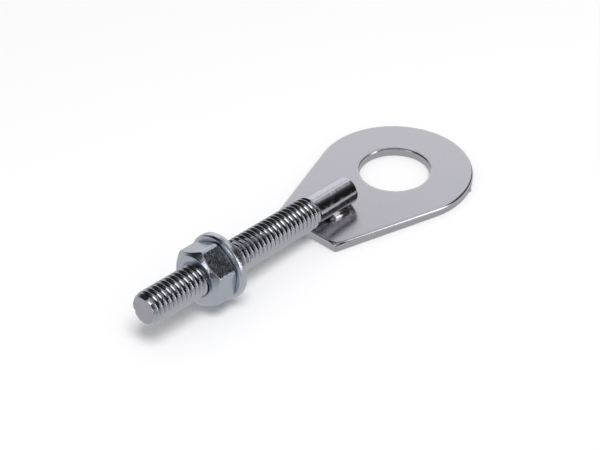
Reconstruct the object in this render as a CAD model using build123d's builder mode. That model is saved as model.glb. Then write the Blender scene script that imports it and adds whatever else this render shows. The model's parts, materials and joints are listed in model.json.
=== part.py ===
from build123d import *
import math
import os

# Chain adjuster for a small motorcycle: a teardrop eye plate with a threaded
# stud welded on its tail, a washer and a hexagon nut.
# Origin at the centre of the axle hole, on the plate's underside. +X runs
# towards the stud's free end and +Z is up, along the axle. Millimetres.

# Eye plate, blanked from strip
plate_thickness = 1.5
eye_radius = 14.2
hole_radius = 6.5
tail_reach = 23.8
tail_width = 14.4
tail_corner_radius = 0.5
# The rounded edge that the blanking press leaves on the upper face
outline_roll = 0.4
hole_roll = 0.25

# Stud, metric thread: crests at thread_radius, blank rolled from the shank
thread_radius = 2.97
thread_root_radius = 2.39
thread_pitch = 1.0
shank_radius = 2.62
stud_reach = 38.6
tip_face_radius = 2.35
tip_chamfer = 0.7
thread_overlap = 0.9
thread_runout = 0.5
shank_reach = 11.0
shank_chamfer = 0.45
# The stud rests with its crests on the tail and its shank pressed into the
# plate, so its free end rises
stud_tilt = 3.1

# Weld beads in the two crevices beside the shank, which they bite into
weld_radius = 0.8
weld_length = 5.0
weld_rise = 0.25
weld_bite = 0.45
weld_setback = 7.0

# Washer, tumbled, so both its outer edges are round
washer_radius = 6.0
washer_bore_radius = 3.2
washer_thickness = 1.6
washer_edge_radius = 0.35
washer_place = 20.5

# Nut, cold formed: round corners, a turned crown at both ends. Its first corner
# is turned clockwise from the top, seen from the stud's free end
nut_sides = 6
nut_flats = 9.8
nut_height = 4.8
nut_corner_radius = 0.9
nut_face_radius = 4.35
nut_back_radius = 4.7
nut_crown_angle = 36.0
nut_back_angle = 30.0
nut_clearance = 0.05
nut_mouth_radius = 3.4
nut_mouth_angle = 30.0
nut_turn = -6.6

# Where the stud's axis stands: the rear end of its thread touches the plate
tilt = math.radians(stud_tilt)
stud_height = (
    plate_thickness
    + thread_radius / math.cos(tilt)
    + thread_overlap * math.tan(tilt)
)
stud_axis = Axis((tail_reach, 0, stud_height), (math.cos(tilt), 0, math.sin(tilt)))
# Profiles drawn here have x along the stud and y as the radius
stud_profile = Plane(
    origin=stud_axis.position, x_dir=stud_axis.direction, z_dir=(0, -1, 0)
)


def across_stud(place):
    """A plane square to the stud, with its x direction up, at a distance along it."""
    return Plane(
        origin=stud_axis.position + stud_axis.direction * place,
        x_dir=(-math.sin(tilt), 0, math.cos(tilt)),
        z_dir=stud_axis.direction,
    )


# Threaded stud: turned-down shank, thread runout, thread, chamfered tip. The thread
# is a row of V-shaped rings, so that it stays light: its crests, roots and pitch are
# the real ones, without the helix's rise. The tip's chamfer cuts the last crest down
tip_slope = (thread_radius - tip_face_radius) / tip_chamfer
ridges = []
for turn in range(math.ceil((stud_reach + thread_overlap) / thread_pitch)):
    crest = turn * thread_pitch - thread_overlap
    chamfer_radius = tip_face_radius + tip_slope * (stud_reach - crest)
    ridges.append((crest, min(thread_radius, chamfer_radius)))
    ridges.append((crest + thread_pitch / 2, thread_root_radius))
ridges.pop()
with BuildPart() as threaded_stud:
    with BuildSketch(stud_profile):
        with BuildLine():
            Polyline(
                (-shank_reach, 0),
                (-shank_reach, shank_radius - shank_chamfer),
                (-shank_reach + shank_chamfer, shank_radius),
                (-thread_overlap - thread_runout, shank_radius),
                *ridges,
                (stud_reach, tip_face_radius),
                (stud_reach, 0),
                close=True,
            )
        make_face()
    revolve(axis=stud_axis)
threaded_stud.part.label = "threaded_stud"

# Eye plate: round eye, straight flanks tangent to it, square tail
with BuildPart() as eye_plate:
    with BuildSketch():
        with BuildLine():
            CenterArc((0, 0), eye_radius, 0, 360)
            corner_x = tail_reach - tail_corner_radius
            corner_y = tail_width / 2 - tail_corner_radius
            CenterArc((corner_x, corner_y), tail_corner_radius, 0, 360)
            CenterArc((corner_x, -corner_y), tail_corner_radius, 0, 360)
        make_hull()
        Circle(hole_radius, mode=Mode.SUBTRACT)
    extrude(amount=plate_thickness)
    top_edges = eye_plate.faces().sort_by(Axis.Z)[-1].edges()
    hole_edge = top_edges.filter_by(GeomType.CIRCLE).filter_by(
        lambda edge: abs(edge.radius - hole_radius) < outline_roll
    )
    fillet(top_edges - hole_edge, radius=outline_roll)
    fillet(
        eye_plate.edges()
        .filter_by(GeomType.CIRCLE)
        .filter_by(lambda edge: abs(edge.radius - hole_radius) < outline_roll)
        .sort_by(Axis.Z)[-1],
        radius=hole_roll,
    )
    # The seat that the shank is pressed into while it is welded
    add(threaded_stud.part, mode=Mode.SUBTRACT)
eye_plate.part.label = "eye_plate"

# Weld beads: rounded rods that fill the crevices, cut to the plate and the shank
weld_height = plate_thickness + weld_rise
axis_over_weld = stud_height - weld_setback * math.tan(tilt) - weld_height
weld_reach = shank_radius + weld_radius - weld_bite
weld_offset = math.sqrt(weld_reach**2 - axis_over_weld**2)
with BuildPart() as weld_beads:
    for side in (1, -1):
        bead_plane = Plane(
            origin=(tail_reach - weld_setback, side * weld_offset, weld_height)
        )
        with BuildSketch(bead_plane):
            SlotOverall(weld_length, 2 * weld_radius)
            Rectangle(
                weld_length,
                weld_radius,
                align=(Align.CENTER, Align.MAX),
                mode=Mode.SUBTRACT,
            )
        revolve(axis=Axis(bead_plane.origin, (1, 0, 0)))
    add(threaded_stud.part, mode=Mode.SUBTRACT)
    split(bisect_by=Plane.XY.offset(plate_thickness), keep=Keep.TOP)
weld_beads.part.label = "weld_beads"

# Washer
with BuildPart() as washer:
    with BuildSketch(across_stud(washer_place)):
        Circle(washer_radius)
        Circle(washer_bore_radius, mode=Mode.SUBTRACT)
    extrude(amount=washer_thickness)
    fillet(
        washer.edges()
        .filter_by(GeomType.CIRCLE)
        .filter_by(lambda edge: edge.radius > washer_bore_radius),
        radius=washer_edge_radius,
    )
washer.part.label = "washer"

# Hexagon nut: the rounded prism inside a turned envelope with a crown at each
# end, then the bore with its countersunk mouths
nut_place = washer_place + washer_thickness
nut_corner_reach = nut_flats / 2 / math.cos(math.pi / nut_sides)
crown_length = (nut_corner_reach - nut_face_radius) * math.tan(math.radians(nut_crown_angle))
back_length = (nut_corner_reach - nut_back_radius) * math.tan(math.radians(nut_back_angle))
nut_bore_radius = thread_radius + nut_clearance
mouth_depth = (nut_mouth_radius - nut_bore_radius) * math.tan(math.radians(nut_mouth_angle))
with BuildPart() as hex_nut:
    with BuildSketch(across_stud(nut_place)) as hexagon:
        RegularPolygon(nut_corner_reach, nut_sides, rotation=nut_turn)
        fillet(hexagon.vertices(), radius=nut_corner_radius)
    extrude(amount=nut_height)
    with BuildSketch(stud_profile):
        with BuildLine():
            Polyline(
                (nut_place, 0),
                (nut_place, nut_back_radius),
                (nut_place + back_length, nut_corner_reach),
                (nut_place + nut_height - crown_length, nut_corner_reach),
                (nut_place + nut_height, nut_face_radius),
                (nut_place + nut_height, 0),
                close=True,
            )
        make_face()
    revolve(axis=stud_axis, mode=Mode.INTERSECT)
    with BuildSketch(stud_profile):
        with BuildLine():
            Polyline(
                (nut_place, 0),
                (nut_place, nut_mouth_radius),
                (nut_place + mouth_depth, nut_bore_radius),
                (nut_place + nut_height - mouth_depth, nut_bore_radius),
                (nut_place + nut_height, nut_mouth_radius),
                (nut_place + nut_height, 0),
                close=True,
            )
        make_face()
    revolve(axis=stud_axis, mode=Mode.SUBTRACT)
hex_nut.part.label = "hex_nut"

os.makedirs("parts", exist_ok=True)
for piece in (eye_plate, threaded_stud, weld_beads, washer, hex_nut):
    export_step(piece.part, f"parts/{piece.part.label}.step")
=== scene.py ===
import json
import math

import bmesh
import bpy
from mathutils import Matrix, Vector, noise


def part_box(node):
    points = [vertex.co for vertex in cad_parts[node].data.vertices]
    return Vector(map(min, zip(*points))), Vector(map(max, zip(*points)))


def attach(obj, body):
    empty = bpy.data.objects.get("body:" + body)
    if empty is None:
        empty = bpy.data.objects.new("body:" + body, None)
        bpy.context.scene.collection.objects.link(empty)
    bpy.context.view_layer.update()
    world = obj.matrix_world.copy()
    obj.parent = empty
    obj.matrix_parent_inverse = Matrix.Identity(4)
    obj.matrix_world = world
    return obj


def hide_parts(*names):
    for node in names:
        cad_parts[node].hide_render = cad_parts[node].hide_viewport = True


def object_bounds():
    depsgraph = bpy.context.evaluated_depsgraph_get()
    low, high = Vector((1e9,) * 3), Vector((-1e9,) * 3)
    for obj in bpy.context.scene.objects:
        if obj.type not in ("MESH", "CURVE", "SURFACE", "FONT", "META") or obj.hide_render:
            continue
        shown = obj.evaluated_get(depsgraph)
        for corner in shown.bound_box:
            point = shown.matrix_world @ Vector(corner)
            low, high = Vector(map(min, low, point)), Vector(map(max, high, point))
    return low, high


# Chain adjuster: a chromed eye plate with a threaded stud welded on its tail,
# a zinc-plated washer and a zinc-plated hexagon nut. Pieces are modelled in
# millimetres and brought into the frame's metres as they are finished.
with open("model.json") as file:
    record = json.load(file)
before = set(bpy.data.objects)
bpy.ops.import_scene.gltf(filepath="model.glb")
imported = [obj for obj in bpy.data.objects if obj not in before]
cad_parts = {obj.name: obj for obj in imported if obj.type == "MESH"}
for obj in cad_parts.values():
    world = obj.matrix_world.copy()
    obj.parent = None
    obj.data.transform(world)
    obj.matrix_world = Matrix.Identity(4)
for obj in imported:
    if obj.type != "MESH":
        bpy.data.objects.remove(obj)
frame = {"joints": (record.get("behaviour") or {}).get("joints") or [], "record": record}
cad_low, cad_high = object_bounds()

MM = 0.001
TURN = 2 * math.pi
SHARP_ANGLE = math.radians(40)
joints = {joint["name"]: joint for joint in frame["joints"]}
mounts = {mount["name"]: mount for mount in frame["record"]["mounts"]}

# The stud's own frame: Z along the stud towards its free end, X up
stud_origin = Vector(joints["nut_turn"]["pos_m"])
stud_direction = Vector(joints["nut_turn"]["axis"]).normalized()
stud_up = Vector((-stud_direction.z, 0, stud_direction.x))
stud_side = stud_direction.cross(stud_up)
stud_place = Matrix.Translation(stud_origin) @ Matrix(
    (stud_up, stud_side, stud_direction)
).transposed().to_4x4()
stud_tilt = math.asin(stud_direction.z)


def along_stud(mount):
    """How far along the stud a mount lies, in millimetres."""
    return (Vector(mounts[mount]["pos_m"]) - stud_origin).dot(stud_direction) / MM


# Eye plate, in millimetres, from the frame
plate_low, plate_high = (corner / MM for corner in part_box("eye_plate"))
plate_thickness = plate_high.z
eye_radius = -plate_low.x
tail_reach = plate_high.x
hole_radius = mounts["axle_hole"]["dims"]["r_mm"]
tail_width = 14.4
corner_radius = 0.5
outline_roll = 0.4
hole_roll = 0.25
hole_roll_unevenness = 0.03
# The press drew the upper edge down further at the tail's two corners
corner_sink_reach = 0.9
# The blanked wall's corners from below, as (set in from the outline, height): torn
# back a little, then burnished
sheared_wall = [(0.08, 0.0), (0.04, 0.03), (0.03, 0.5), (0.0, 0.62), (0.0, 0.8)]
torn_height = 0.1
burnished_height = 0.8
# The upper face's rings, set in from the outline and closest over the roll
face_insets = (0.0, 0.014, 0.054, 0.117, 0.2, 0.297, 0.4, 0.52, 0.7, 0.9, 1.15, 1.4, 1.7)
# One burr on the wall and one dent in the upper edge
burr_angle = math.radians(113.6)
burr_size = 0.32
burr_reach = 0.45
dent_place = Vector((6.66, -12.48))
dent_depth = 0.22
dent_reach = 0.45

# Stud
thread_pitch = 1.0
thread_phase = 0.12
crest_radius = 2.97
crest_round = 0.14
root_round = 0.15
root_radius = crest_radius - math.sqrt(3) / 2 * thread_pitch + crest_round + root_round
shank_radius = 2.62
stud_tip = along_stud("stud_end")
tip_face_radius = 2.42
tip_chamfer = 0.7
tip_slope = (crest_radius - tip_face_radius) / tip_chamfer
runout_start = -1.4
runout_end = -0.5
tip_unevenness = 0.1
tip_nick_angle = math.radians(117)
tip_nick_width = 0.14
tip_nick_depth = 0.28
shank_reach = 11.0
shank_chamfer = 0.45

# Weld beads: their section, how far they stand above and are cut into the plate
bead_width = 1.9
bead_height = 1.7
bead_rise = 0.12
bead_bite = 0.05

# Washer and nut
washer_place = along_stud("bearing_face")
washer_thickness = 1.6
washer_radius = 6.0
washer_bore_radius = 3.2
washer_rear_rounding = 0.35
washer_front_rounding = 0.5
washer_bore_rounding = 0.12
nut_place = washer_place + washer_thickness
nut_height = 4.8
nut_flats = 9.8
nut_corner_radius = 0.9
nut_face_radius = 4.35
nut_back_radius = 4.7
nut_crown_angle = math.radians(36)
nut_back_angle = math.radians(30)
nut_rounding = 0.12
nut_mouth_radius = 3.4
nut_mouth_angle = math.radians(30)
nut_mouth_rounding = 0.05
nut_turn = math.radians(-6.6)
nut_clearance = 0.05
# The rings that its two end faces are drawn with, and the blank's radius round them
nut_back_rings = (3.5, 4.0, 4.5, 4.64)
nut_face_rings = (4.29, 4.15, 3.8, 3.5)
nut_blank_radius = 9

# Where a piece has several finishes, their order on it
strip_face, sheared_wall_face, rolled_edge_face = range(3)
thread_face, cut_end_face, shank_face = range(3)


# Small tools

def linear(colour):
    """An sRGB hex colour as linear RGBA."""
    channels = [int(colour[i:i + 2], 16) / 255 for i in (1, 3, 5)]
    return [c / 12.92 if c <= 0.04045 else ((c + 0.055) / 1.055) ** 2.4 for c in channels] + [1.0]


def add_node(tree, kind, inputs=None, **settings):
    """A shader node with its settings; an input is a value or a socket to link."""
    node = tree.nodes.new(kind)
    for name, value in settings.items():
        setattr(node, name, value)
    for name, value in (inputs or {}).items():
        if isinstance(value, bpy.types.NodeSocket):
            tree.links.new(value, node.inputs[name])
        else:
            node.inputs[name].default_value = value
    return node


def soft_min(a, b, width):
    """The smaller of two lengths, rounded over where they cross."""
    overlap = max(width - abs(a - b), 0)
    return min(a, b) - overlap * overlap / (4 * width)


def soft_max(a, b, width):
    """The larger of two lengths, rounded over where they cross."""
    return -soft_min(-a, -b, width)


def smooth_step(value, low, high):
    """0 at low, 1 at high and smooth between."""
    share = min(max((value - low) / (high - low), 0), 1)
    return share * share * (3 - 2 * share)


def polyline(bm, points):
    """Vertices joined by edges: a profile to spin."""
    verts = [bm.verts.new(point) for point in points]
    return verts + [bm.edges.new(pair) for pair in zip(verts, verts[1:])]


def revolve(bm, profile, steps, rise=0.0):
    """Spins a profile once round the Z axis. With a rise it climbs as a thread does."""
    bmesh.ops.spin(
        bm,
        geom=profile,
        cent=(0, 0, 0),
        axis=(0, 0, 1),
        dvec=(0, 0, rise / steps),
        angle=TURN,
        steps=steps,
        use_merge=not rise,
    )
    bmesh.ops.remove_doubles(bm, verts=bm.verts, dist=0.002)


def trim(bm, place, keep_above):
    """Cuts the mesh square to Z and returns the edges of the cut."""
    cut = bmesh.ops.bisect_plane(
        bm,
        geom=bm.verts[:] + bm.edges[:] + bm.faces[:],
        plane_co=(0, 0, place),
        plane_no=(0, 0, 1),
        clear_inner=keep_above,
        clear_outer=not keep_above,
    )["geom_cut"]
    return [item for item in cut if isinstance(item, bmesh.types.BMEdge)]


def set_radius(vert, radius):
    """Moves a vertex square to the Z axis, to a new radius."""
    old = math.hypot(vert.co.x, vert.co.y)
    vert.co.x *= radius / old
    vert.co.y *= radius / old


def bump_at(distance, reach):
    """1 at a place, falling away smoothly over about its reach."""
    return math.exp(-((distance / reach) ** 2))


def join_mesh(bm, part):
    """Adds one bmesh to another and frees it."""
    mesh = bpy.data.meshes.new("part")
    part.to_mesh(mesh)
    part.free()
    bm.from_mesh(mesh)
    bpy.data.meshes.remove(mesh)


def open_edges(bm, height):
    """The open edges that lie flat at a height."""
    return [
        edge
        for edge in bm.edges
        if edge.is_boundary and all(abs(vert.co.z - height) < 0.001 for vert in edge.verts)
    ]


def finish_piece(name, bm, place, materials, body, node):
    """Makes a piece of a bmesh in millimetres, in its place, and gives it to the frame."""
    bmesh.ops.recalc_face_normals(bm, faces=bm.faces)
    bmesh.ops.transform(bm, matrix=place @ Matrix.Scale(MM, 4), verts=bm.verts)
    mesh = bpy.data.meshes.new(name)
    bm.to_mesh(mesh)
    bm.free()
    mesh.shade_smooth()
    mesh.set_sharp_from_angle(angle=SHARP_ANGLE)
    piece = bpy.data.objects.new(name, mesh)
    bpy.context.scene.collection.objects.link(piece)
    for material in materials:
        mesh.materials.append(material)
    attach(piece, body)
    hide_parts(node)


# Materials

def metal(name, colour, roughness):
    """A metal finish to build on: its node tree, its shader and its coordinates in mm."""
    material = bpy.data.materials.new(name)
    material.use_nodes = True
    tree = material.node_tree
    shader = tree.nodes["Principled BSDF"]
    shader.inputs["Base Color"].default_value = linear(colour)
    shader.inputs["Metallic"].default_value = 1.0
    shader.inputs["Roughness"].default_value = roughness
    coordinates = add_node(tree, "ShaderNodeTexCoord")
    millimetres = add_node(
        tree,
        "ShaderNodeMapping",
        {
            "Vector": coordinates.outputs["Object"],
            "Rotation": (0, stud_tilt, 0),
            "Scale": (1 / MM, 1 / MM, 1 / MM),
        },
    )
    return material, tree, shader, millimetres.outputs["Vector"]


def stretched(tree, vector, scale):
    """The coordinates scaled, so that a pattern is drawn out along one direction."""
    return add_node(tree, "ShaderNodeMapping", {"Vector": vector, "Scale": scale}).outputs["Vector"]


def grain(tree, vector, size, detail=2.0):
    """Noise whose cells are about so many millimetres across."""
    return add_node(
        tree,
        "ShaderNodeTexNoise",
        {"Vector": vector, "Scale": 1 / size, "Detail": detail},
    ).outputs["Fac"]


def relief(tree, shader, layers):
    """Bump from layers of (height pattern, depth in millimetres), one on another."""
    normal = None
    for height, depth in layers:
        inputs = {"Height": height, "Strength": 1.0, "Distance": depth * MM}
        if normal:
            inputs["Normal"] = normal
        normal = add_node(tree, "ShaderNodeBump", inputs).outputs["Normal"]
    tree.links.new(normal, shader.inputs["Normal"])


def spread(tree, pattern, low, high):
    """A pattern's middle range spread from low to high."""
    return add_node(
        tree,
        "ShaderNodeMapRange",
        {"Value": pattern, "From Min": 0.3, "From Max": 0.7, "To Min": low, "To Max": high},
    ).outputs["Result"]


def chrome_on_strip():
    """Bright chrome over cold-rolled strip: pits too fine to see veil a clouded mirror."""
    plain, heated = "#c3c2ca", "#bdb2a2"
    material, tree, shader, vector = metal("chrome_on_rolled_strip", plain, 0.2)
    clouds = grain(tree, vector, 5.0)
    pits = grain(tree, vector, 0.09)
    tree.links.new(spread(tree, pits, 0.18, 0.3), shader.inputs["Roughness"])
    # The weld's heat has left it faintly brown round the bead
    weld_low, weld_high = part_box("weld_beads")
    centre = (weld_low + weld_high) / 2
    away = add_node(
        tree,
        "ShaderNodeVectorMath",
        {0: vector, 1: Matrix.Rotation(stud_tilt, 3, "Y") @ centre / MM},
        operation="DISTANCE",
    ).outputs["Value"]
    heat = add_node(
        tree,
        "ShaderNodeMapRange",
        {"Value": away, "From Min": 2.5, "From Max": 6.0, "To Min": 0.3, "To Max": 0.0},
    ).outputs["Result"]
    tint = add_node(
        tree,
        "ShaderNodeMix",
        {"Factor": heat, "A": linear(plain), "B": linear(heated)},
        data_type="RGBA",
    )
    tree.links.new(tint.outputs["Result"], shader.inputs["Base Color"])
    relief(tree, shader, [(clouds, 0.002)])
    return material


def chrome_on_sheared_edge_and_painted_shade():
    """Chrome over the blanked edge: satin, with the press's upright score marks. Its colour is also
    set darker, partly as painted shade: the floor's shade by the plate's edge, which the wall
    reflects.
    """
    material, tree, shader, vector = metal("chrome_on_sheared_edge_and_painted_shade", "#b8b7be", 0.3)
    scores = grain(tree, stretched(tree, vector, (1.0, 1.0, 0.15)), 0.35)
    relief(tree, shader, [(scores, 0.005)])
    return material


def chrome_on_rolled_edge():
    """Bright chrome over the edge that the press rolled over: a mirror, slightly wavy."""
    material, tree, shader, vector = metal("chrome_on_rolled_edge", "#d0ced4", 0.07)
    relief(tree, shader, [(grain(tree, vector, 0.6), 0.003)])
    return material


def chrome_on_thread():
    """Bright chrome over a rolled thread: a mirror, with a little orange peel."""
    material, tree, shader, vector = metal("chrome_on_rolled_thread", "#c1c3cb", 0.07)
    peel = grain(tree, vector, 0.3)
    tree.links.new(spread(tree, peel, 0.03, 0.08), shader.inputs["Roughness"])
    relief(tree, shader, [(peel, 0.003)])
    return material


def chrome_on_shank():
    """Bright chrome over a turned shank: rings from the tool, and pits that break them up."""
    material, tree, shader, vector = metal("chrome_on_turned_shank", "#c8c6d0", 0.08)
    rings = grain(tree, stretched(tree, vector, (1.0, 0.15, 0.15)), 0.14)
    pits = grain(tree, vector, 0.2, detail=4.0)
    patches = grain(tree, vector, 1.2)
    broken = add_node(
        tree,
        "ShaderNodeMath",
        {0: pits, 1: spread(tree, patches, 0.0, 1.0)},
        operation="MULTIPLY",
    ).outputs[0]
    tree.links.new(spread(tree, patches, 0.06, 0.14), shader.inputs["Roughness"])
    relief(tree, shader, [(rings, 0.0012), (broken, 0.022)])
    return material


def chrome_on_cut_end():
    """Chrome over the sheared end of the stud: matt grey with a fine pitting."""
    material, tree, shader, vector = metal("chrome_on_cut_end", "#bebcc4", 0.4)
    relief(tree, shader, [(grain(tree, vector, 0.15), 0.003)])
    return material


def chrome_on_weld():
    """Chrome over weld metal: bright where it is smooth, dulled in the ripples."""
    material, tree, shader, vector = metal("chrome_on_weld", "#b2b0b4", 0.14)
    relief(tree, shader, [(grain(tree, vector, 0.6), 0.012)])
    return material


def zinc_on_steel(name, colour, roughness, tumbling):
    """Clear blue-passivated zinc over a tumbled part: a grainy sheen with small dents."""
    material, tree, shader, vector = metal(name, colour, roughness)
    dents = grain(tree, vector, 0.7)
    # Real crystals are finer than this: they are drawn as coarse as shows
    crystals = grain(tree, vector, 0.28)
    tree.links.new(
        spread(tree, dents, roughness - 0.05, roughness + 0.06), shader.inputs["Roughness"]
    )
    relief(tree, shader, [(dents, tumbling), (crystals, tumbling * 1.3)])
    return material


# Eye plate

def roll_height(spot, inset):
    """The upper face's height at a place so far in from the outline."""
    corner = Vector((tail_reach, tail_width / 2))
    sink = bump_at((Vector((spot.x, abs(spot.y))) - corner).length, corner_sink_reach)
    width = outline_roll * (1 + 2 * sink)
    share = 1 - min(inset / width, 1)
    return plate_thickness - outline_roll * (1 + sink) * (1 - math.sqrt(1 - share * share))


def torn_burr(spot):
    """How far the blanked edge is torn outwards at the one place where it is."""
    burr = Vector((math.cos(burr_angle), math.sin(burr_angle))) * eye_radius
    return burr_size * bump_at((spot.xy.normalized() * eye_radius - burr).length, burr_reach)


def outline(bm, inset, height):
    """A closed ring round the plate's outline, set in from its edge."""
    known = set(bm.edges)
    corner = Vector((tail_reach - corner_radius, tail_width / 2 - corner_radius))
    turn = math.atan2(corner.y, corner.x) + math.acos((eye_radius - corner_radius) / corner.length)
    flank = Vector((math.cos(turn), math.sin(turn), 0))
    radius = max(corner_radius - inset, 0.05)
    x = tail_reach - inset - radius
    y = (eye_radius - inset - radius - flank.x * x) / flank.y
    ends = []
    for centre, first, angle, steps in (
        (Vector((0, 0, height)), flank * (eye_radius - inset), TURN - 2 * turn, 150),
        (Vector((x, -y, height)), Vector((flank.x, -flank.y, 0)) * radius, turn, 8),
        (Vector((x, y, height)), Vector((radius, 0, 0)), turn, 8),
    ):
        vert = bm.verts.new(centre + first)
        last = bmesh.ops.spin(
            bm,
            geom=[vert],
            cent=centre,
            axis=(0, 0, 1),
            dvec=(0, 0, 0),
            angle=angle,
            steps=steps,
        )["geom_last"]
        ends.append((vert, last[0]))
    joins = [bm.edges.new((ends[k][1], ends[(k + 1) % 3][0])) for k in range(3)]
    bmesh.ops.subdivide_edges(bm, edges=joins, cuts=40)
    return [edge for edge in bm.edges if edge not in known]


def build_eye_hole():
    """The eye's hole, on its own profile, out to a ring on the upper face."""
    bm = bmesh.new()
    profile = [(0.05, 0.0), (0.0, 0.04), (0.0, burnished_height)]
    profile += [
        (hole_roll * (1 - math.cos(a)), plate_thickness - hole_roll * (1 - math.sin(a)))
        for a in (math.pi / 2 * step / 5 for step in range(6))
    ]
    profile.append((0.6, plate_thickness))
    revolve(bm, polyline(bm, [(hole_radius + out, 0, z) for out, z in profile]), 144)
    for vert in bm.verts:
        if burnished_height < vert.co.z < plate_thickness - 0.001:
            vert.co.z -= hole_roll_unevenness * abs(noise.noise(vert.co * 2.5))
    for face in bm.faces:
        middle = face.calc_center_median()
        if middle.z < plate_thickness - hole_roll:
            face.material_index = sheared_wall_face
        elif middle.z < plate_thickness - 0.001 and noise.noise(middle * 1.3) > 0.12:
            face.material_index = rolled_edge_face
    return bm


def build_eye_plate():
    """The outline's rings, from the sheared wall up over the roll, and the hole."""
    bm = bmesh.new()
    levels = sheared_wall + [(inset, None) for inset in face_insets]
    # The rings are joined far apart, then brought to their heights
    rings = [outline(bm, inset, index) for index, (inset, height) in enumerate(levels)]
    for index, (ring, above) in enumerate(zip(rings, rings[1:])):
        for face in bmesh.ops.bridge_loops(bm, edges=ring + above)["faces"]:
            wall = index < len(sheared_wall)
            face.material_index = sheared_wall_face if wall else strip_face
    for vert in bm.verts:
        inset, height = levels[round(vert.co.z)]
        vert.co.z = roll_height(vert.co, inset) if height is None else height
        if height is not None and height < torn_height:
            vert.co.xy *= 1 + torn_burr(vert.co) / eye_radius
        elif inset < outline_roll:
            vert.co.z -= dent_depth * bump_at((vert.co.xy - dent_place).length, dent_reach)
    bm.normal_update()
    for face in bm.faces:
        if face.material_index == strip_face and 0.0 < face.normal.z < 0.985:
            face.material_index = rolled_edge_face
    join_mesh(bm, build_eye_hole())
    for height in (0.0, plate_thickness):
        bmesh.ops.triangle_fill(bm, use_beauty=True, edges=open_edges(bm, height))
    return bm


# Threaded stud

def thread_rows(first, last, outward=0.0):
    """The rolled thread's profile along the stud: round crests and roots, 60 degree flanks."""
    bends = [math.radians(angle) for angle in (-60, -40, -20, 0, 20, 40, 60)]
    rows = []
    for turn in range(math.ceil((last - first) / thread_pitch) + 1):
        crest = math.floor(first) + thread_phase + turn * thread_pitch
        for place, radius, rounding in (
            (crest, crest_radius, -crest_round),
            (crest + thread_pitch / 2, root_radius, root_round),
        ):
            for bend in bends:
                rise = rounding * (1 - math.cos(bend))
                along = abs(rounding) * math.sin(bend)
                rows.append((radius + outward + rise, 0, place + along))
    return rows


def nicks(spot):
    """How far the stud's end is beaten in: an uneven first thread and one nick in its rim."""
    near_tip = smooth_step(spot.z, stud_tip - 2 * tip_chamfer, stud_tip - tip_chamfer / 2)
    uneven = tip_unevenness * abs(noise.noise(spot * 1.4)) * near_tip
    away = (math.atan2(spot.y, spot.x) - tip_nick_angle + math.pi) % TURN - math.pi
    nick = tip_nick_depth * bump_at(away, tip_nick_width)
    return uneven + nick * smooth_step(spot.z, stud_tip - tip_chamfer, stud_tip)


def build_threaded_stud():
    """The helical thread, cut square at both ends, with the shank joined on behind it."""
    bm = bmesh.new()
    join = runout_start - 0.1
    rows = thread_rows(join - 2 * thread_pitch, stud_tip + 2 * thread_pitch)
    revolve(bm, polyline(bm, rows), 96, rise=thread_pitch)
    trim(bm, join, keep_above=True)
    tip = trim(bm, stud_tip, keep_above=False)
    for vert in bm.verts:
        radius = math.hypot(vert.co.x, vert.co.y)
        kept = smooth_step(vert.co.z, runout_start, runout_end)
        radius = shank_radius + (radius - shank_radius) * kept
        cone = tip_face_radius + (stud_tip - vert.co.z) * tip_slope
        if vert.co.z > stud_tip - 2 * tip_chamfer:
            radius = soft_min(radius, cone, 0.06)
            radius -= nicks(vert.co)
        set_radius(vert, radius)
    bmesh.ops.contextual_create(bm, geom=[edge for edge in tip if edge.is_valid])
    # The shank, with its end rounded as the blank was cut off
    ends = [(shank_radius, 0, join - 0.05), (shank_radius, 0, -8), (shank_radius, 0, -10)]
    ends += [
        (
            shank_radius - shank_chamfer * (1 - math.cos(a)),
            0,
            -shank_reach + shank_chamfer * (1 - math.sin(a)),
        )
        for a in (math.pi / 2 * step / 8 for step in range(9))
    ]
    ends += [(1.6, 0, -shank_reach), (0, 0, -shank_reach)]
    known = set(bm.edges)
    revolve(bm, polyline(bm, ends), 96)
    collar = [
        edge
        for edge in bm.edges
        if edge not in known and edge.is_boundary and edge.verts[0].co.z > join - 0.1
    ]
    joint = [edge for edge in bm.edges if edge.is_boundary and edge not in set(collar)]
    bmesh.ops.bridge_loops(bm, edges=joint + collar)
    for face in bm.faces:
        place = face.calc_center_median().z
        if place > stud_tip - 0.01:
            face.material_index = cut_end_face
        elif place < join:
            face.material_index = shank_face
        else:
            face.material_index = thread_face
    return bm


# Weld beads

def build_weld_beads():
    """Two short fillets of weld in the crevices beside the shank, rippled as they cooled."""
    low, high = (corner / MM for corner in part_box("weld_beads"))
    length = high.x - low.x
    bm = bmesh.new()
    for side in (1, -1):
        bead = bmesh.new()
        bmesh.ops.create_uvsphere(bead, u_segments=40, v_segments=28, radius=0.5)
        bmesh.ops.rotate(bead, verts=bead.verts, matrix=Matrix.Rotation(math.pi / 2, 3, "Y"))
        for vert in bead.verts:
            # Square the ellipsoid's ends a little, then ripple it along its length
            along = vert.co.x * 2
            vert.co.x = 0.5 * math.copysign(abs(along) ** 0.85, along)
            ripple = 1 + 0.02 * math.sin(along * 9 + side)
            ripple += 0.1 * noise.noise(vert.co * 1.6 + Vector((side, 0, 0)))
            vert.co.y *= ripple
            vert.co.z *= ripple
        bmesh.ops.scale(bead, verts=bead.verts, vec=(length, bead_width, bead_height))
        middle = ((low.x + high.x) / 2, side * (high.y - bead_height / 2), plate_thickness + bead_rise)
        bmesh.ops.translate(bead, verts=bead.verts, vec=middle)
        cut = bmesh.ops.bisect_plane(
            bead,
            geom=bead.verts[:] + bead.edges[:] + bead.faces[:],
            plane_co=(0, 0, plate_thickness - bead_bite),
            plane_no=(0, 0, -1),
            clear_outer=True,
        )["geom_cut"]
        bmesh.ops.contextual_create(
            bead, geom=[item for item in cut if isinstance(item, bmesh.types.BMEdge)]
        )
        join_mesh(bm, bead)
    return bm


# Washer

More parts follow.
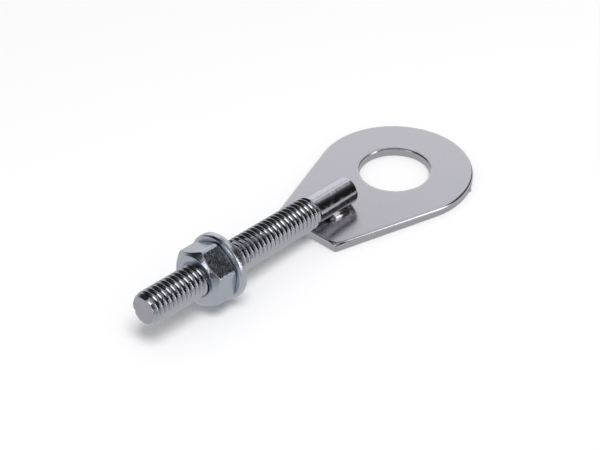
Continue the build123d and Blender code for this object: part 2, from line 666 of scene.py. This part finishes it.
def build_washer():
    """A punched ring, rounded by tumbling, most at its front edge."""
    bm = bmesh.new()
    corners = [
        (washer_bore_radius, 0, 0),
        (washer_radius, 0, 0),
        (washer_radius, 0, washer_thickness),
        (washer_bore_radius, 0, washer_thickness),
        (washer_bore_radius, 0, 0),
    ]
    revolve(bm, polyline(bm, corners), 128)
    for radius, height, rounding in (
        (washer_radius, 0, washer_rear_rounding),
        (washer_radius, washer_thickness, washer_front_rounding),
        (washer_bore_radius, 0, washer_bore_rounding),
        (washer_bore_radius, washer_thickness, washer_bore_rounding),
    ):
        edges = [
            edge
            for edge in bm.edges
            if all(
                abs(math.hypot(vert.co.x, vert.co.y) - radius) < 0.01
                and abs(vert.co.z - height) < 0.01
                for vert in edge.verts
            )
        ]
        bmesh.ops.bevel(
            bm,
            geom=edges,
            offset=rounding,
            segments=6,
            profile=0.5,
            affect="EDGES",
            material=-1,
        )
    bmesh.ops.translate(bm, verts=bm.verts, vec=(0, 0, washer_place))
    return bm


# Hexagon nut

def hexagon_reach(angle):
    """The rounded hexagon's radius in a direction."""
    sixth = TURN / 6
    turned = (angle - nut_turn) % sixth
    off_corner = min(turned, sixth - turned)
    centre = (nut_flats / 2 - nut_corner_radius) / math.cos(sixth / 2)
    off_flat = sixth / 2 - off_corner
    flat = nut_flats / 2 / math.cos(off_flat)
    if math.tan(off_flat) * nut_flats / 2 < centre * math.sin(sixth / 2):
        return flat
    across = centre * math.sin(off_corner)
    return centre * math.cos(off_corner) + math.sqrt(nut_corner_radius**2 - across * across)


def turned_reach(place):
    """The radius that the turned crowns leave at a place along the nut."""
    back = nut_back_radius + place / math.tan(nut_back_angle)
    front = nut_face_radius + (nut_height - place) / math.tan(nut_crown_angle)
    return min(back, front)


def build_hex_nut():
    """A round blank brought in to the hexagon and its crowns, with a threaded bore."""
    bm = bmesh.new()
    steps = 80
    rows = [(ring, 0, 0) for ring in nut_back_rings]
    rows += [(nut_blank_radius, 0, nut_height * step / steps) for step in range(steps + 1)]
    rows += [(ring, 0, nut_height) for ring in nut_face_rings]
    revolve(bm, polyline(bm, rows), 288)
    for vert in bm.verts:
        if math.hypot(vert.co.x, vert.co.y) > nut_blank_radius - 1:
            reach = hexagon_reach(math.atan2(vert.co.y, vert.co.x))
            set_radius(vert, soft_min(reach, turned_reach(vert.co.z), nut_rounding))
    bmesh.ops.translate(bm, verts=bm.verts, vec=(0, 0, nut_place))
    # The thread inside, a running fit on the stud's, with countersunk mouths
    bore = bmesh.new()
    last = nut_place + nut_height
    rows = thread_rows(nut_place - 2 * thread_pitch, last + 2 * thread_pitch, nut_clearance)
    revolve(bore, polyline(bore, rows), 96, rise=thread_pitch)
    trim(bore, nut_place, keep_above=True)
    trim(bore, last, keep_above=False)
    for vert in bore.verts:
        depth = min(vert.co.z - nut_place, last - vert.co.z)
        mouth = nut_mouth_radius - depth / math.tan(nut_mouth_angle)
        set_radius(vert, soft_max(math.hypot(vert.co.x, vert.co.y), mouth, nut_mouth_rounding))
    join_mesh(bm, bore)
    for height in (nut_place, last):
        bmesh.ops.bridge_loops(bm, edges=open_edges(bm, height))
    return bm


# The floor, the light and the camera

# The sheets of painted floor shade are whole this far out, then fade to nothing, in metres
sheet_reach = 0.25
sheet_end = 0.3
# How bright the white tent is as fill light, where it is 1 to the camera and in metal
fill_strength = 0.55
lamp_distance = 0.8
# The camera as it was fitted to the photo: where it stands, what it looks at in mm
camera_azimuth = 133.607
camera_elevation = 37.391
camera_distance = 0.34006
camera_roll = math.radians(-0.888)
camera_aim = Vector((22.331, -2.761, 0))


def direction(azimuth, elevation):
    """The way to a point in the studio: azimuth 0 is towards -Y and grows towards +X."""
    a, e = math.radians(azimuth), math.radians(elevation)
    return Vector((math.sin(a) * math.cos(e), -math.cos(a) * math.cos(e), math.sin(e)))


def glowing(name, strength):
    """A plain white surface that gives off light, clear where its cover is 0."""
    material = bpy.data.materials.new(name)
    material.use_nodes = True
    tree = material.node_tree
    tree.nodes.clear()
    emission = add_node(
        tree, "ShaderNodeEmission", {"Color": linear("#ffffff"), "Strength": strength}
    )
    clear = add_node(tree, "ShaderNodeBsdfTransparent")
    cover = add_node(tree, "ShaderNodeAttribute", attribute_name="cover")
    feathered = add_node(
        tree,
        "ShaderNodeMixShader",
        {0: cover.outputs["Fac"], 1: clear.outputs["BSDF"], 2: emission.outputs["Emission"]},
    )
    add_node(tree, "ShaderNodeOutputMaterial", {"Surface": feathered.outputs["Shader"]})
    return material


def hang(name, bm, strength):
    """Makes a card of a bmesh. Only reflections show it, and it casts no shadow."""
    mesh = bpy.data.meshes.new(name)
    bm.to_mesh(mesh)
    bm.free()
    mesh.materials.append(glowing(name, strength))
    piece = bpy.data.objects.new(name, mesh)
    bpy.context.scene.collection.objects.link(piece)
    piece.visible_camera = False
    piece.visible_diffuse = False
    piece.visible_shadow = False


def card(name, distance, azimuths, elevations, feather, strength):
    """A curved card with soft edges, over a range of directions in degrees."""
    bm = bmesh.new()
    width = azimuths[1] - azimuths[0] + feather
    low = elevations[0] - feather / 2
    high = min(elevations[1] + feather / 2, 90)
    rows, columns = 16, 32
    points = [
        distance * direction(azimuths[0] - feather / 2, low + (high - low) * row / rows)
        for row in range(rows + 1)
    ]
    bmesh.ops.spin(
        bm,
        geom=polyline(bm, points),
        cent=(0, 0, 0),
        axis=(0, 0, 1),
        dvec=(0, 0, 0),
        angle=math.radians(width),
        steps=columns,
    )
    cover = bm.verts.layers.float.new("cover")
    for vert in bm.verts:
        azimuth = math.degrees(math.atan2(vert.co.x, -vert.co.y)) - azimuths[0] + feather / 2
        elevation = math.degrees(math.atan2(vert.co.z, vert.co.xy.length))
        inwards = [azimuth % 360, (width - azimuth) % 360]
        inwards.append(elevation - elevations[0] + feather / 2)
        if elevations[1] < 90:
            inwards.append(elevations[1] + feather / 2 - elevation)
        vert[cover] = min(max(min(inwards) / feather, 0), 1)
    hang(name, bm, strength)


def on_floor(bm, rise):
    """Lays a flat bmesh on the floor, or a little over it."""
    # The eye's far edge and the washer both rest on the floor
    low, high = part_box("washer")
    slope = math.atan2(-low.z, (low.x + high.x) / 2 - cad_low.x)
    bmesh.ops.rotate(bm, verts=bm.verts, matrix=Matrix.Rotation(slope, 3, "Y"))
    bmesh.ops.translate(bm, verts=bm.verts, vec=(0, 0, math.tan(slope) * cad_low.x + rise))


def sheet(name, rise, azimuths, inner, feather, strength):
    """A sheet on the floor round the object, from some distance in mm outwards. It glows dimmer than
    the floor the camera sees and only reflections show it: painted floor shade.
    """
    bm = bmesh.new()
    centre = Vector(((cad_low.x + cad_high.x) / 2, 0, 0))
    reaches = (max(inner, 0.001) * MM, (inner + feather) * MM, sheet_reach, sheet_end)
    points = [centre + reach * direction(azimuths[0], 0) for reach in reaches]
    columns = 32
    bmesh.ops.spin(
        bm,
        geom=polyline(bm, points),
        cent=centre,
        axis=(0, 0, 1),
        dvec=(0, 0, 0),
        angle=math.radians(azimuths[1] - azimuths[0]),
        steps=columns,
    )
    cover = bm.verts.layers.float.new("cover")
    for vert in bm.verts:
        reach = (vert.co - centre).length
        at_inner_rim = inner > 0 and reach < reaches[0] * 1.01
        at_outer_rim = reach > sheet_end * 0.99
        vert[cover] = 0 if at_inner_rim or at_outer_rim else 1
    on_floor(bm, rise * MM)
    hang(name, bm, strength)


def build_floor():
    """A plain pale floor, which takes the object's shadow."""
    material = bpy.data.materials.new("pale_floor")
    material.use_nodes = True
    shader = material.node_tree.nodes["Principled BSDF"]
    shader.inputs["Base Color"].default_value = linear("#f7f7f8")
    shader.inputs["Roughness"].default_value = 0.9
    shader.inputs["Specular IOR Level"].default_value = 0.0
    bm = bmesh.new()
    bmesh.ops.create_grid(bm, x_segments=1, y_segments=1, size=4)
    on_floor(bm, 0)
    mesh = bpy.data.meshes.new("floor")
    bm.to_mesh(mesh)
    bm.free()
    mesh.materials.append(material)
    floor = bpy.data.objects.new("floor", mesh)
    bpy.context.scene.collection.objects.link(floor)


# The studio's cards, outermost first, each in front of those above it: the directions
# that it covers in degrees, its soft edge and its brightness, where 1 is the white tent
CARDS = (
    ("far_top", (301, 498), (46, 90), 16, 0.03),
    ("left_top", (36, 112), (52, 84), 14, 0.5),
    ("side_low", (348, 439), (-16, 59), 12, 0.42),
    ("side_flag", (333, 428), (32, 63), 8, 0.015),
    ("side_flag_low", (16, 73), (8, 48), 8, 0.03),
    ("front_left", (67, 131), (-11, 34), 10, 0.13),
    ("left_low", (103, 115), (-15, 6), 8, 0.01),
    ("softbox_left", (81, 100), (13, 29), 6, 2.2),
    ("front", (138, 167), (9, 50), 10, 0.02),
    ("front_top", (128, 196), (27, 90), 10, 0.28),
    ("right_strip", (172, 191), (23, 62), 6, 0.01),
    ("edge_light", (189, 206), (-2, 46), 4, 2.8),
    ("flag_back", (212, 246), (-3, 56), 8, 0.015),
    ("back_top", (221, 293), (66, 89), 8, 0.01),
    ("right_low", (168, 185), (-4, 35), 4, 0.01),
    ("back_edge", (236, 281), (-9, 50), 10, 0.07),
)
card_distance = 0.9
card_spacing = 0.02

# Painted floor shade for reflections, as glowing sheets on the floor that are dimmer than the floor
# the camera sees: the rise over it in mm, the directions in degrees, how far out in mm they start,
# their soft edge and their brightness
FLOOR_SHADE_SHEETS = (
    ("floor_shade_sheet", 0.02, (0, 360), 0, 10, 0.66),
    ("front_shade_sheet", 0.04, (84, 168), 40, 25, 0.4),
    ("back_shade_sheet", 0.04, (168, 300), 40, 25, 0.45),
)


def build_world():
    """White behind everything, for the camera and for reflections, dimmer as fill light."""
    world = bpy.data.worlds.new("studio")
    world.use_nodes = True
    tree = world.node_tree
    background = tree.nodes["Background"]
    background.inputs["Color"].default_value = linear("#ffffff")
    rays = add_node(tree, "ShaderNodeLightPath")
    seen = rays.outputs["Is Camera Ray"]
    for kind in ("Is Glossy Ray", "Is Transmission Ray"):
        seen = add_node(
            tree,
            "ShaderNodeMath",
            {0: seen, 1: rays.outputs[kind]},
            operation="MAXIMUM",
        ).outputs[0]
    strength = add_node(
        tree, "ShaderNodeMapRange", {"Value": seen, "To Min": fill_strength, "To Max": 1.0}
    )
    tree.links.new(strength.outputs["Result"], background.inputs["Strength"])
    bpy.context.scene.world = world


def build_light():
    """A round lamp high on the camera's side, which metal doesn't show."""
    lamp = bpy.data.lights.new("overhead", "AREA")
    lamp.shape = "DISK"
    lamp.size = 0.5
    lamp.energy = 4.0
    light = bpy.data.objects.new("overhead", lamp)
    bpy.context.scene.collection.objects.link(light)
    way = direction(150, 70)
    light.location = way * lamp_distance
    light.rotation_mode = "QUATERNION"
    light.rotation_quaternion = way.to_track_quat("Z", "Y")
    light.visible_glossy = False


def build_camera():
    """The camera on its sight line, turned a little round it."""
    lens = bpy.data.cameras.new("camera")
    lens.sensor_width = 36
    lens.lens = 115.52
    lens.clip_start = 0.01
    camera = bpy.data.objects.new("camera", lens)
    bpy.context.scene.collection.objects.link(camera)
    back = direction(camera_azimuth, camera_elevation)
    right = Vector((0, 0, 1)).cross(back).normalized()
    up = back.cross(right)
    roll = Matrix.Rotation(camera_roll, 4, back)
    turned = Matrix((roll @ right, roll @ up, back)).transposed().to_4x4()
    place = camera_aim * MM + back * camera_distance
    camera.matrix_world = Matrix.Translation(place) @ turned
    bpy.context.scene.camera = camera


upright = Matrix.Identity(4)
finish_piece(
    "eye_plate_chromed",
    build_eye_plate(),
    upright,
    [chrome_on_strip(), chrome_on_sheared_edge_and_painted_shade(), chrome_on_rolled_edge()],
    "adjuster",
    "eye_plate",
)
finish_piece(
    "stud_chromed",
    build_threaded_stud(),
    stud_place,
    [chrome_on_thread(), chrome_on_cut_end(), chrome_on_shank()],
    "adjuster",
    "threaded_stud",
)
finish_piece(
    "weld_beads_chromed",
    build_weld_beads(),
    upright,
    [chrome_on_weld()],
    "adjuster",
    "weld_beads",
)
finish_piece(
    "washer_zinc",
    build_washer(),
    stud_place,
    [zinc_on_steel("zinc_on_washer", "#c0c6d0", 0.2, 0.02)],
    "washer",
    "washer",
)
finish_piece(
    "nut_zinc",
    build_hex_nut(),
    stud_place,
    [zinc_on_steel("zinc_on_nut", "#bbc1cc", 0.18, 0.02)],
    "nut",
    "hex_nut",
)

build_floor()
build_world()
build_light()
for order, (name, azimuths, elevations, feather, strength) in enumerate(CARDS):
    card(name, card_distance - card_spacing * order, azimuths, elevations, feather, strength)
# Sheets of painted floor shade, which only reflections show
for settings in FLOOR_SHADE_SHEETS:
    sheet(*settings)
build_camera()

scene = bpy.context.scene
scene.view_settings.view_transform = "Standard"
